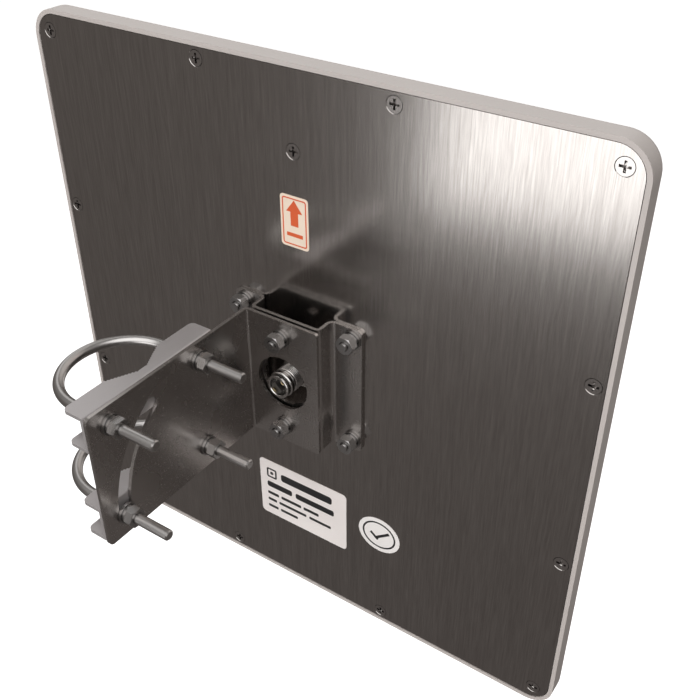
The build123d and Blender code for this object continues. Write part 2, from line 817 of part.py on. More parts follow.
with BuildPart() as inspection_sticker:
    with BuildSketch(label_plane()):
        with Locations((panel_x + sticker_place[0], panel_z + sticker_place[1])):
            Ellipse(sticker_half_width, sticker_half_height)
    extrude(amount=label_thickness)
inspection_sticker.part.label = "inspection_sticker"
export_step(inspection_sticker.part, "parts/inspection_sticker.step")
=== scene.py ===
import math

import bmesh
import bpy
from mathutils import Matrix, Vector


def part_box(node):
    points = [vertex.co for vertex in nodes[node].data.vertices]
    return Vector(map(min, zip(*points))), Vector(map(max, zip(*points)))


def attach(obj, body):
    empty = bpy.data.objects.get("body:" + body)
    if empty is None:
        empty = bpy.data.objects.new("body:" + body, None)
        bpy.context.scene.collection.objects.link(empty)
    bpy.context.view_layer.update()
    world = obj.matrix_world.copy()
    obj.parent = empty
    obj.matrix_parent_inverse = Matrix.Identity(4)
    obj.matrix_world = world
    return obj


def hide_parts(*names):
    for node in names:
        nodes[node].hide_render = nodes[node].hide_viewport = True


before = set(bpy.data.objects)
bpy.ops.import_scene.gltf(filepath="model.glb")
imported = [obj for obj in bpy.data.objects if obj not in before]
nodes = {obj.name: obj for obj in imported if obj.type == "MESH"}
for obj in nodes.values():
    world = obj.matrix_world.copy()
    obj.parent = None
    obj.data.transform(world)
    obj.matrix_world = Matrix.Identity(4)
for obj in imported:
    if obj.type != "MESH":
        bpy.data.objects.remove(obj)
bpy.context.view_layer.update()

mm = 0.001

# small helpers for working with the operators


def clearSelection():
    if bpy.context.object and bpy.context.object.mode != "OBJECT":
        bpy.ops.object.mode_set(mode="OBJECT")
    bpy.ops.object.select_all(action="DESELECT")


def makeActive(obj):
    clearSelection()
    obj.select_set(True)
    bpy.context.view_layer.objects.active = obj


def startEdit(obj):
    makeActive(obj)
    bpy.ops.object.mode_set(mode="EDIT")
    bpy.ops.mesh.select_mode(type="FACE")
    bpy.ops.mesh.select_all(action="DESELECT")


def pickEdges(obj, test):
    bpy.ops.mesh.select_mode(type="EDGE")
    bpy.ops.mesh.select_all(action="DESELECT")
    mesh = bmesh.from_edit_mesh(obj.data)
    mesh.edges.ensure_lookup_table()
    for edge in mesh.edges:
        if test(edge):
            edge.select_set(True)
    bmesh.update_edit_mesh(obj.data)


def finishEdit(mergeDistance=0.000002):
    bpy.ops.mesh.select_all(action="SELECT")
    bpy.ops.mesh.remove_doubles(threshold=mergeDistance)
    bpy.ops.mesh.normals_make_consistent(inside=False)
    bpy.ops.object.mode_set(mode="OBJECT")


def applyPlace(obj, matrix=None):
    makeActive(obj)
    if matrix is not None:
        obj.matrix_world = matrix
    bpy.ops.object.transform_apply(location=True, rotation=True, scale=True)


def smoothByAngle(obj, degrees=35):
    makeActive(obj)
    bpy.ops.object.shade_smooth_by_angle(angle=math.radians(degrees))


def joinPieces(name, pieces):
    clearSelection()
    for piece in pieces:
        piece.select_set(True)
    bpy.context.view_layer.objects.active = pieces[0]
    if len(pieces) > 1:
        bpy.ops.object.join()
    pieces[0].name = name
    pieces[0].data.name = name
    return pieces[0]


def copyPiece(obj, name, shift):
    twin = obj.copy()
    twin.data = obj.data.copy()
    twin.name = name
    twin.data.name = name
    bpy.context.scene.collection.objects.link(twin)
    applyPlace(twin, Matrix.Translation(Vector(shift)))
    return twin


def turnRings(name, rings, segments=48, solid=True):
    # rings are (radius, height) pairs, extruded one after the other from a circle
    clearSelection()
    firstRadius, firstHeight = rings[0]
    fill = "NGON" if solid else "NOTHING"
    bpy.ops.mesh.primitive_circle_add(
        vertices=segments, radius=firstRadius, fill_type=fill, location=(0, 0, firstHeight)
    )
    obj = bpy.context.object
    obj.name = name
    bpy.ops.object.transform_apply(location=True)
    bpy.ops.object.mode_set(mode="EDIT")
    bpy.ops.mesh.select_all(action="SELECT")
    for (radius, height), (nextRadius, nextHeight) in zip(rings, rings[1:]):
        move = {"value": (0, 0, nextHeight - height)}
        bpy.ops.mesh.extrude_region_move(TRANSFORM_OT_translate=move)
        ratio = nextRadius / radius
        if abs(ratio - 1) > 1e-6:
            bpy.ops.transform.resize(value=(ratio, ratio, 1), center_override=(0, 0, nextHeight))
    finishEdit()
    return obj


def threadRidge(name, rootRadius, crestRadius, pitch, start, length, steps=24):
    # one tooth of the thread, carried round and up by a screw
    clearSelection()
    bpy.ops.mesh.primitive_circle_add(vertices=4, radius=crestRadius, fill_type="NOTHING")
    obj = bpy.context.object
    obj.name = name
    bite = 0.08 * mm
    half = pitch * 0.46
    flat = pitch * 0.08
    tooth = [
        (rootRadius - bite, start - half),
        (crestRadius, start - flat),
        (crestRadius, start + flat),
        (rootRadius - bite, start + half),
    ]
    for vertex, (radius, height) in zip(obj.data.vertices, tooth):
        vertex.co = (radius, 0, height)
    screw = obj.modifiers.new("screw", "SCREW")
    screw.axis = "Z"
    screw.angle = 2 * math.pi
    screw.screw_offset = pitch
    screw.iterations = max(1, int(length / pitch))
    screw.steps = steps
    screw.render_steps = steps
    screw.use_merge_vertices = False
    makeActive(obj)
    bpy.ops.object.modifier_apply(modifier="screw")
    startEdit(obj)
    bpy.ops.mesh.select_all(action="SELECT")
    bpy.ops.mesh.remove_doubles(threshold=0.000001)
    middle = start + length / 2
    for side in (-1, 1):
        pickEdges(obj, lambda edge: edge.is_boundary and side * (edge.verts[0].co.z - middle) > 0)
        bpy.ops.mesh.edge_face_add()
    finishEdit(0.000001)
    return obj


def alongAxis(origin, direction):
    # the matrix that stands a turned piece on a point, pointing along a direction
    turn = Vector((0, 0, 1)).rotation_difference(Vector(direction)).to_matrix().to_4x4()
    return Matrix.Translation(Vector(origin)) @ turn


# camera, floor and light

cameraSet = {
    "place": (0.3266, -0.2632, 0.3498),
    "forward": (-0.458392, 0.682024, -0.569842),
    "lens": 48.65,
}
cameraData = bpy.data.cameras.new("camera")
cameraData.lens = cameraSet["lens"]
cameraData.sensor_width = 36
cameraData.clip_start = 0.01
camera = bpy.data.objects.new("camera", cameraData)
bpy.context.scene.collection.objects.link(camera)
camera.location = cameraSet["place"]
camera.rotation_euler = Vector(cameraSet["forward"]).to_track_quat("-Z", "Y").to_euler()
bpy.context.scene.camera = camera

studio = {
    "floorHeight": -1.1,
    "floorSize": 14.0,
    "floorColour": (0.93, 0.93, 0.93, 1),
    "keyLight": {"direction": (0.20, -0.74, 0.64), "distance": 2.2, "size": (3.6, 3.2), "power": 62},
    "lowLight": {"direction": (-0.135, -0.96, -0.242), "distance": 2.5, "size": (1.7, 1.1), "power": 14.5},
    "rearLight": {"direction": (-0.458, 0.682, 0.570), "distance": 2.2, "size": (3.0, 3.0), "power": 18},
    "aim": (0.10, 0.05, 0.10),
}
clearSelection()
bpy.ops.mesh.primitive_plane_add(size=studio["floorSize"], location=(0, 0, studio["floorHeight"]))
floor = bpy.context.object
floor.name = "floor"
floor.visible_glossy = False
floor.visible_diffuse = False
floorMaterial = bpy.data.materials.new("floorPaper")
floorMaterial.use_nodes = True
floorShader = floorMaterial.node_tree.nodes["Principled BSDF"]
floorShader.inputs["Base Color"].default_value = studio["floorColour"]
floorShader.inputs["Roughness"].default_value = 0.9
floorShader.inputs["Emission Color"].default_value = (1, 1, 1, 1)
floorShader.inputs["Emission Strength"].default_value = 0.75
floor.data.materials.append(floorMaterial)


def addSoftbox(name):
    settings = studio[name]
    direction = Vector(settings["direction"]).normalized()
    lightData = bpy.data.lights.new(name, "AREA")
    lightData.shape = "RECTANGLE"
    lightData.size, lightData.size_y = settings["size"]
    lightData.energy = settings["power"]
    light = bpy.data.objects.new(name, lightData)
    bpy.context.scene.collection.objects.link(light)
    light.location = Vector(studio["aim"]) + direction * settings["distance"]
    light.rotation_euler = (-direction).to_track_quat("-Z", "Y").to_euler()


for lightName in ("keyLight", "lowLight", "rearLight"):
    addSoftbox(lightName)

world = bpy.data.worlds.new("studioWorld")
bpy.context.scene.world = world
world.use_nodes = True
worldNodes = world.node_tree.nodes
worldLinks = world.node_tree.links
worldCoord = worldNodes.new("ShaderNodeTexCoord")
worldSplit = worldNodes.new("ShaderNodeSeparateXYZ")
worldRange = worldNodes.new("ShaderNodeMapRange")
worldRamp = worldNodes.new("ShaderNodeValToRGB")
worldRange.inputs["From Min"].default_value = -1
worldRange.inputs["From Max"].default_value = 1
worldLinks.new(worldCoord.outputs["Generated"], worldSplit.inputs[0])
worldLinks.new(worldSplit.outputs["Z"], worldRange.inputs["Value"])
worldLinks.new(worldRange.outputs["Result"], worldRamp.inputs["Fac"])
worldLinks.new(worldRamp.outputs["Color"], worldNodes["Background"].inputs["Color"])
worldRamp.color_ramp.elements[0].position = 0.10
worldRamp.color_ramp.elements[0].color = (0.135, 0.122, 0.116, 1)
worldRamp.color_ramp.elements[1].position = 0.75
worldRamp.color_ramp.elements[1].color = (0.32, 0.31, 0.30, 1)
horizon = worldRamp.color_ramp.elements.new(0.48)
horizon.color = (0.165, 0.150, 0.140, 1)
worldNodes["Background"].inputs["Strength"].default_value = 1.0
bpy.context.scene.view_settings.view_transform = "Standard"
print("studio ready")

# effects that several finishes share


def newGroup(name, inputs, outputs):
    group = bpy.data.node_groups.new(name, "ShaderNodeTree")
    for socketName, kind, value in inputs:
        socket = group.interface.new_socket(name=socketName, in_out="INPUT", socket_type=kind)
        if value is not None:
            socket.default_value = value
    for socketName, kind in outputs:
        group.interface.new_socket(name=socketName, in_out="OUTPUT", socket_type=kind)
    return group, group.nodes.new("NodeGroupInput"), group.nodes.new("NodeGroupOutput")


def noiseNode(tree, vector, scale, detail=3.0, roughness=0.6):
    noise = tree.nodes.new("ShaderNodeTexNoise")
    noise.inputs["Scale"].default_value = scale
    noise.inputs["Detail"].default_value = detail
    noise.inputs["Roughness"].default_value = roughness
    tree.links.new(vector, noise.inputs["Vector"])
    return noise.outputs["Fac"]


def rangeNode(tree, value, fromMin, fromMax, toMin=0.0, toMax=1.0):
    node = tree.nodes.new("ShaderNodeMapRange")
    node.inputs["From Min"].default_value = fromMin
    node.inputs["From Max"].default_value = fromMax
    node.inputs["To Min"].default_value = toMin
    node.inputs["To Max"].default_value = toMax
    tree.links.new(value, node.inputs["Value"])
    return node.outputs["Result"]


def mathNode(tree, kind, first, second):
    node = tree.nodes.new("ShaderNodeMath")
    node.operation = kind
    for socket, value in zip(node.inputs, (first, second)):
        if isinstance(value, (int, float)):
            socket.default_value = value
        else:
            tree.links.new(value, socket)
    return node.outputs[0]


def mixColour(tree, factor, first, second, blend="MIX"):
    node = tree.nodes.new("ShaderNodeMix")
    node.data_type = "RGBA"
    node.blend_type = blend
    for socket, value in ((node.inputs[0], factor), (node.inputs[6], first), (node.inputs[7], second)):
        if isinstance(value, (int, float, tuple)):
            socket.default_value = value
        else:
            tree.links.new(value, socket)
    return node.outputs[2]


def stretched(tree, vector, scale):
    node = tree.nodes.new("ShaderNodeMapping")
    node.inputs["Scale"].default_value = scale
    tree.links.new(vector, node.inputs["Vector"])
    return node.outputs["Vector"]


# brush marks: fine and broad lines that run along Z
brushGroup, brushIn, brushOut = newGroup(
    "brushMarks",
    [("Vector", "NodeSocketVector", None), ("Contrast", "NodeSocketFloat", 1.0)],
    [("Lines", "NodeSocketFloat"), ("Height", "NodeSocketFloat")],
)
brushPlace = brushIn.outputs["Vector"]
brushFine = noiseNode(brushGroup, stretched(brushGroup, brushPlace, (2300, 100, 80)), 1.0, 1.0)
brushMedium = noiseNode(brushGroup, stretched(brushGroup, brushPlace, (1200, 60, 36)), 1.0, 1.0)
brushBroad = noiseNode(brushGroup, stretched(brushGroup, brushPlace, (140, 20, 5)), 1.0, 1.0)
brushSum = mathNode(brushGroup, "ADD", mathNode(brushGroup, "MULTIPLY", brushFine, 0.42),
                    mathNode(brushGroup, "MULTIPLY", brushMedium, 0.5))
brushSum = mathNode(brushGroup, "ADD", brushSum, mathNode(brushGroup, "MULTIPLY", brushBroad, 0.08))
brushCentred = mathNode(brushGroup, "SUBTRACT", brushSum, 0.5)
brushLines = mathNode(brushGroup, "MULTIPLY", brushCentred, brushIn.outputs["Contrast"])
brushGroup.links.new(mathNode(brushGroup, "ADD", brushLines, 0.5), brushOut.inputs["Lines"])
brushGroup.links.new(brushFine, brushOut.inputs["Height"])

# worn metal: soft blotches and hairline scratches, with painted highlights on corners and painted shade in
# crevices
wearAndShadeGroup, wearAndShadeIn, wearAndShadeOut = newGroup(
    "metalWearAndShade",
    [
        ("Vector", "NodeSocketVector", None),
        ("Edge Width", "NodeSocketFloat", 0.0006),
    ],
    [
        ("Blotch", "NodeSocketFloat"),
        ("Scratch", "NodeSocketFloat"),
        ("Edge Highlight", "NodeSocketFloat"),
        ("Crevice Shade", "NodeSocketFloat"),
    ],
)
wearAndShadeGroup.links.new(
    rangeNode(wearAndShadeGroup, noiseNode(wearAndShadeGroup, wearAndShadeIn.outputs["Vector"], 22.0, 3.0), 0.3, 0.7),
    wearAndShadeOut.inputs["Blotch"],
)
scratchA = noiseNode(wearAndShadeGroup, stretched(wearAndShadeGroup, wearAndShadeIn.outputs["Vector"], (90, 1400, 1400)), 1.0, 1.0)
scratchB = noiseNode(wearAndShadeGroup, stretched(wearAndShadeGroup, wearAndShadeIn.outputs["Vector"], (1300, 120, 90)), 1.0, 1.0)
scratchBoth = mathNode(wearAndShadeGroup, "MAXIMUM", scratchA, scratchB)
wearAndShadeGroup.links.new(rangeNode(wearAndShadeGroup, scratchBoth, 0.70, 0.86), wearAndShadeOut.inputs["Scratch"])
# painted highlight: the bevel normal marks corners, which are lightened so they look lit
bevelNode = wearAndShadeGroup.nodes.new("ShaderNodeBevel")
bevelNode.samples = 4
wearAndShadeGroup.links.new(wearAndShadeIn.outputs["Edge Width"], bevelNode.inputs["Radius"])
geometryNode = wearAndShadeGroup.nodes.new("ShaderNodeNewGeometry")
edgeDot = wearAndShadeGroup.nodes.new("ShaderNodeVectorMath")
edgeDot.operation = "DOT_PRODUCT"
wearAndShadeGroup.links.new(bevelNode.outputs["Normal"], edgeDot.inputs[0])
wearAndShadeGroup.links.new(geometryNode.outputs["Normal"], edgeDot.inputs[1])
wearAndShadeGroup.links.new(rangeNode(wearAndShadeGroup, edgeDot.outputs["Value"], 0.98, 0.80), wearAndShadeOut.inputs["Edge Highlight"])

# painted shade: ambient occlusion darkens crevices, hollows and gaps between parts
creviceShadeNode = wearAndShadeGroup.nodes.new("ShaderNodeAmbientOcclusion")
creviceShadeNode.samples = 6
creviceShadeNode.inputs["Distance"].default_value = 1.6 * mm
wearAndShadeGroup.links.new(rangeNode(wearAndShadeGroup, creviceShadeNode.outputs["AO"], 0.80, 0.35), wearAndShadeOut.inputs["Crevice Shade"])

# fine grain: moulded plastic, film and rubber
grainGroup, grainIn, grainOut = newGroup(
    "fineGrain",
    [("Vector", "NodeSocketVector", None), ("Scale", "NodeSocketFloat", 900.0)],
    [("Grain", "NodeSocketFloat"), ("Cloud", "NodeSocketFloat")],
)
grainNoise = grainGroup.nodes.new("ShaderNodeTexNoise")
grainNoise.inputs["Detail"].default_value = 2.0
grainGroup.links.new(grainIn.outputs["Vector"], grainNoise.inputs["Vector"])
grainGroup.links.new(grainIn.outputs["Scale"], grainNoise.inputs["Scale"])
grainGroup.links.new(grainNoise.outputs["Fac"], grainOut.inputs["Grain"])
grainGroup.links.new(
    rangeNode(grainGroup, noiseNode(grainGroup, grainIn.outputs["Vector"], 14.0, 4.0), 0.3, 0.7),
    grainOut.inputs["Cloud"],
)


def startMaterial(name):
    material = bpy.data.materials.new(name)
    material.use_nodes = True
    tree = material.node_tree
    shader = tree.nodes["Principled BSDF"]
    coordinates = tree.nodes.new("ShaderNodeTexCoord").outputs["Object"]
    return material, tree, shader, coordinates


def addGroup(tree, group, vector, values=None):
    node = tree.nodes.new("ShaderNodeGroup")
    node.node_tree = group
    tree.links.new(vector, node.inputs["Vector"])
    for key, value in (values or {}).items():
        node.inputs[key].default_value = value
    return node.outputs


def addBump(tree, shader, height, distance, strength=1.0):
    bump = tree.nodes.new("ShaderNodeBump")
    bump.inputs["Distance"].default_value = distance
    bump.inputs["Strength"].default_value = strength
    tree.links.new(height, bump.inputs["Height"])
    tree.links.new(bump.outputs["Normal"], shader.inputs["Normal"])


def brushedMetal(name, settings):
    material, tree, shader, coordinates = startMaterial(name)
    marks = addGroup(tree, brushGroup, coordinates, {"Contrast": settings["contrast"]})
    colour = mixColour(tree, marks["Lines"], settings["dark"], settings["light"])
    tree.links.new(colour, shader.inputs["Base Color"])
    rough = rangeNode(tree, marks["Lines"], 0.2, 0.8, settings["rough"][1], settings["rough"][0])
    tree.links.new(rough, shader.inputs["Roughness"])
    shader.inputs["Metallic"].default_value = 1.0
    addBump(tree, shader, marks["Height"], settings["bump"])
    return material


def wornMetal(name, settings):
    settings = {**wornShared, **settings}
    material, tree, shader, coordinates = startMaterial(name)
    wearAndShade = addGroup(tree, wearAndShadeGroup, coordinates, {"Edge Width": settings["edgeWidth"]})
    marks = addGroup(tree, brushGroup, coordinates, {"Contrast": settings["brush"]})
    mottle = mathNode(tree, "MULTIPLY", mathNode(tree, "ADD", wearAndShade["Blotch"], marks["Lines"]), 0.5)
    colour = mixColour(tree, mottle, settings["dark"], settings["light"])
    scratch = mathNode(tree, "MULTIPLY", wearAndShade["Scratch"], settings["scratch"])
    colour = mixColour(tree, scratch, colour, settings["bareAndHighlight"])
    # painted highlight: corners lightened toward the bare metal colour, which scratches also use
    edge = mathNode(tree, "MULTIPLY", wearAndShade["Edge Highlight"], settings["edge"])
    colour = mixColour(tree, edge, colour, settings["bareAndHighlight"])
    # painted shade: crevices and gaps between parts mixed toward a dark colour
    creviceShade = mathNode(tree, "MULTIPLY", wearAndShade["Crevice Shade"], settings["creviceShade"])
    colour = mixColour(tree, creviceShade, colour, settings["paintedShade"])
    tree.links.new(colour, shader.inputs["Base Color"])
    rough = rangeNode(tree, mottle, 0.0, 1.0, settings["rough"][0], settings["rough"][1])
    rough = mathNode(tree, "ADD", rough, mathNode(tree, "MULTIPLY", wearAndShade["Scratch"], 0.06))
    tree.links.new(rough, shader.inputs["Roughness"])
    shader.inputs["Metallic"].default_value = settings["metallic"]
    addBump(tree, shader, marks["Height"], settings["bump"])
    return material


def mouldedPlastic(name, settings):
    material, tree, shader, coordinates = startMaterial(name)
    grain = addGroup(tree, grainGroup, coordinates, {"Scale": settings["scale"]})
    colour = mixColour(tree, grain["Cloud"], settings["dark"], settings["light"])
    tree.links.new(colour, shader.inputs["Base Color"])
    rough = rangeNode(tree, grain["Cloud"], 0.0, 1.0, settings["rough"][0], settings["rough"][1])
    tree.links.new(rough, shader.inputs["Roughness"])
    addBump(tree, shader, grain["Grain"], settings["bump"])
    return material


metalFinishes = {
    "plateAluminium": {
        "dark": (0.345, 0.32, 0.305, 1), "light": (0.545, 0.52, 0.5, 1), "contrast": 2.0,
        "rough": (0.172, 0.18), "bump": 0.0000005,
    },
}
# the dark colour here is painted shade for crevices and gaps between parts
wornShared = {"paintedShade": (0.05, 0.045, 0.042, 1), "brush": 1.0}
# in each finish, edge sets the strength of the painted highlight on corners
wornFinishes = {
    "bracketSteel": {
        "dark": (0.41, 0.385, 0.368, 1), "light": (0.455, 0.428, 0.412, 1), "bareAndHighlight": (0.7, 0.68, 0.66, 1),
        "scratch": 0.05, "edge": 0.0,
        "edgeWidth": 0.0003, "creviceShade": 0.35, "metallic": 1.0, "rough": (0.25, 0.29), "bump": 0.000003,
    },
    "jawSteel": {
        "dark": (0.44, 0.415, 0.415, 1), "light": (0.48, 0.455, 0.455, 1), "bareAndHighlight": (0.74, 0.72, 0.7, 1),
        "scratch": 0.1, "edge": 0.35,
        "edgeWidth": 0.0003, "creviceShade": 0.4, "metallic": 0.55, "rough": (0.36, 0.42), "bump": 0.000003,
    },
    "fastenerSteel": {
        "dark": (0.31, 0.3, 0.295, 1), "light": (0.4, 0.39, 0.385, 1), "bareAndHighlight": (0.8, 0.79, 0.78, 1),
        "scratch": 0.15, "edge": 0.6,
        "edgeWidth": 0.00025, "creviceShade": 0.85, "metallic": 1.0, "rough": (0.25, 0.31), "bump": 0.000002,
    },
    "rodSteel": {
        "dark": (0.42, 0.405, 0.395, 1), "light": (0.5, 0.485, 0.475, 1), "bareAndHighlight": (0.74, 0.73, 0.72, 1),
        "scratch": 0.12, "edge": 0.4,
        "edgeWidth": 0.0002, "creviceShade": 0.85, "metallic": 1.0, "rough": (0.27, 0.33), "bump": 0.000001,
    },
    "connectorNickel": {
        "dark": (0.52, 0.505, 0.49, 1), "light": (0.62, 0.605, 0.59, 1), "bareAndHighlight": (0.84, 0.82, 0.77, 1),
        "scratch": 0.12, "edge": 0.5,
        "edgeWidth": 0.0002, "creviceShade": 0.85, "metallic": 1.0, "rough": (0.16, 0.22), "bump": 0.000003,
    },
    "contactGold": {
        "dark": (0.42, 0.34, 0.18, 1), "light": (0.54, 0.44, 0.25, 1), "bareAndHighlight": (0.86, 0.74, 0.48, 1),
        "scratch": 0.2, "edge": 0.5, "edgeWidth": 0.0002,
        "creviceShade": 0.85, "metallic": 1.0, "rough": (0.16, 0.26), "bump": 0.000003,
    },
    "screwSteel": {
        "dark": (0.42, 0.395, 0.38, 1), "light": (0.54, 0.515, 0.5, 1), "bareAndHighlight": (0.74, 0.72, 0.7, 1),
        "scratch": 0.2, "edge": 0.3,
        "edgeWidth": 0.00015, "creviceShade": 0.85, "metallic": 1.0, "rough": (0.16, 0.2), "bump": 0.000004,
    },
    "patchAluminium": {
        "dark": (0.66, 0.66, 0.65, 1), "light": (0.76, 0.76, 0.75, 1), "bareAndHighlight": (0.88, 0.88, 0.88, 1),
        "scratch": 0.3, "edge": 0.3, "edgeWidth": 0.0003,
        "creviceShade": 0.85, "metallic": 1.0, "rough": (0.26, 0.4), "bump": 0.000005,
    },
}
plasticFinishes = {
    "coverPlastic": {
        "dark": (0.53, 0.485, 0.46, 1), "light": (0.57, 0.525, 0.5, 1), "scale": 1400,
        "rough": (0.38, 0.5), "bump": 0.00004,
    },
    "gasketRubber": {
        "dark": (0.012, 0.012, 0.012, 1), "light": (0.03, 0.03, 0.03, 1), "scale": 900,
        "rough": (0.6, 0.8), "bump": 0.00006,
    },
    "nylonPost": {
        "dark": (0.72, 0.7, 0.64, 1), "light": (0.8, 0.78, 0.72, 1), "scale": 1200, "rough": (0.4, 0.55),
        "bump": 0.00003,
    },
    "connectorPtfe": {
        "dark": (0.1, 0.095, 0.09, 1), "light": (0.17, 0.16, 0.15, 1), "scale": 1600,
        "rough": (0.35, 0.5), "bump": 0.00002,
    },
    "creamFilm": {
        "dark": (0.84, 0.68, 0.55, 1), "light": (0.9, 0.75, 0.61, 1), "scale": 2600,
        "rough": (0.34, 0.46), "bump": 0.00001,
    },
    "greyFilm": {
        "dark": (0.86, 0.8, 0.775, 1), "light": (0.93, 0.875, 0.85, 1), "scale": 2600,
        "rough": (0.34, 0.46), "bump": 0.00001,
    },
    "whiteFilm": {
        "dark": (0.88, 0.845, 0.825, 1), "light": (0.95, 0.92, 0.9, 1), "scale": 2600,
        "rough": (0.3, 0.42), "bump": 0.00001,
    },
    "redInk": {
        "dark": (0.62, 0.085, 0.022, 1), "light": (0.72, 0.12, 0.035, 1), "scale": 3000,
        "rough": (0.32, 0.44), "bump": 0.000006,
    },
    "blackInk": {
        "dark": (0.012, 0.012, 0.013, 1), "light": (0.022, 0.021, 0.022, 1), "scale": 3000,
        "rough": (0.3, 0.44), "bump": 0.000006,
    },
}
finishes = {}
for finishName, finishSet in metalFinishes.items():
    finishes[finishName] = brushedMetal(finishName, finishSet)
for finishName, finishSet in wornFinishes.items():
    finishes[finishName] = wornMetal(finishName, finishSet)
for finishName, finishSet in plasticFinishes.items():
    finishes[finishName] = mouldedPlastic(finishName, finishSet)
print("finishes ready:", len(finishes))


def paint(obj, finishName):
    obj.data.materials.clear()
    obj.data.materials.append(finishes[finishName])
    for polygon in obj.data.polygons:
        polygon.material_index = 0


nodeFinish = {
    "radome_cover": "coverPlastic",
    "gasket": "gasketRubber",
    "back_plate": "plateAluminium",
    "panel_screws": "screwSteel",
    "earth_screw": "screwSteel",
    "earth_clinch_nut": "fastenerSteel",
    "radiator_sheet": "patchAluminium",
    "radiator_posts": "nylonPost",
    "connector_insulator": "connectorPtfe",
    "connector_contact": "contactGold",
    "connector_lock_washer": "connectorNickel",
    "connector_nut": "connectorNickel",
    "hat_bracket": "bracketSteel",
    "tilt_bracket": "bracketSteel",
    "upper_jaw": "jawSteel",
    "lower_jaw": "jawSteel",
    "crown_spacers": "fastenerSteel",
    "upper_u_bolt": "rodSteel",
    "lower_u_bolt": "rodSteel",
    "up_label": "creamFilm",
    "data_label": "greyFilm",
    "inspection_sticker": "whiteFilm",
}
for group in ("flange", "crown", "upper", "lower"):
    for kind in ("flat_washers", "spring_washers", "nuts"):
        nodeFinish[f"{group}_{kind}"] = "fastenerSteel"
for nodeName, finishName in nodeFinish.items():
    paint(nodes[nodeName], finishName)

# bracket bolts with threaded tails

boltSet = {
    "radius": 3.0 * mm,
    "root": 2.45 * mm,
    "pitch": 1.0 * mm,
    "headRadius": 4.3 * mm,
    "headHeight": 2.6 * mm,
    "headRound": 0.9 * mm,
    "threadStart": 3.0 * mm,
    "runOut": 0.4 * mm,
    "tipBevel": 0.3 * mm,
    "ridgeStart": 0.5 * mm,
    "ridgeShort": 1.2 * mm,
}


def makeBolts(nodeName, pieceName):
    low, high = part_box(nodeName)
    s = boltSet
    length = high.y - low.y - s["headHeight"]
    rings = [
        (s["headRadius"] - s["headRound"], -s["headHeight"]),
        (s["headRadius"] - s["headRound"] * 0.3, -s["headHeight"] + s["headRound"] * 0.3),
        (s["headRadius"], -s["headHeight"] + s["headRound"]),
        (s["headRadius"], 0),
        (s["radius"], 0),
        (s["radius"], s["threadStart"]),
        (s["root"], s["threadStart"] + s["runOut"]),
        (s["root"], length - s["runOut"]),
        (s["root"] - s["tipBevel"], length),
    ]
    shank = turnRings(pieceName, rings, 32)
    ridgeStart = s["threadStart"] + s["ridgeStart"]
    ridgeLength = length - s["threadStart"] - s["ridgeShort"]
    ridge = threadRidge(f"{pieceName}Thread", s["root"], s["radius"], s["pitch"], ridgeStart, ridgeLength)
    bolt = joinPieces(pieceName, [shank, ridge])
    smoothByAngle(bolt, 40)
    # one column of bolts where the node is narrow, two where it is wide
    columns = [low.x + s["headRadius"], high.x - s["headRadius"]]
    if high.x - low.x < 3 * s["headRadius"]:
        columns = [(low.x + high.x) / 2]
    heights = (low.z + s["headRadius"], high.z - s["headRadius"])
    places = [(x, low.y + length, z) for x in columns for z in heights]
    bolts = [bolt] + [copyPiece(bolt, f"{pieceName}{n}", (0, 0, 0)) for n in range(1, len(places))]
    for piece, place in zip(bolts, places):
        applyPlace(piece, alongAxis(place, (0, -1, 0)))
    bolt = joinPieces(pieceName, bolts)
    paint(bolt, "fastenerSteel")
    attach(bolt, "antenna")
    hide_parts(nodeName)


makeBolts("flange_bolts", "flangeBolts")
makeBolts("crown_bolts", "crownBolts")
print("bolts ready")

# connector with its thread cut

connectorSet = {
    "thread": 7.94 * mm,
    "root": 7.35 * mm,
    "mounting": 7.58 * mm,
    "pitch": 1.058 * mm,
    "bore": 5.6 * mm,
    "boreDepth": 10.5 * mm,
    "insulator": 3.6 * mm,
    "flange": 11.0 * mm,
    "flangeHeight": 2.0 * mm,
    "plate": 2.5 * mm,
    "mountingTop": 4.0 * mm,
    "rootStart": 4.3 * mm,
    "ridgeStart": 5.3 * mm,
    "ridgeShort": 11.9 * mm,
    "ring": 7.4 * mm,
    "ringGroove": 0.5 * mm,
    "lip": 0.15 * mm,
}
# the collar and the front ring, as distances back from the tip
collarSet = {
    "grooveBack": 6.7 * mm,
    "grooveFloorBack": 6.6 * mm,
    "grooveFloorFront": 5.7 * mm,
    "collarBack": 5.5 * mm,
    "collarFront": 3.6 * mm,
    "bevelFront": 3.1 * mm,
    "neckBack": 3.0 * mm,
    "neckFront": 2.2 * mm,
    "ringBack": 2.1 * mm,
    "ringFront": 0.5 * mm,
    "boreBevel": 0.4 * mm,
    "grooveDepth": 0.1 * mm,
}


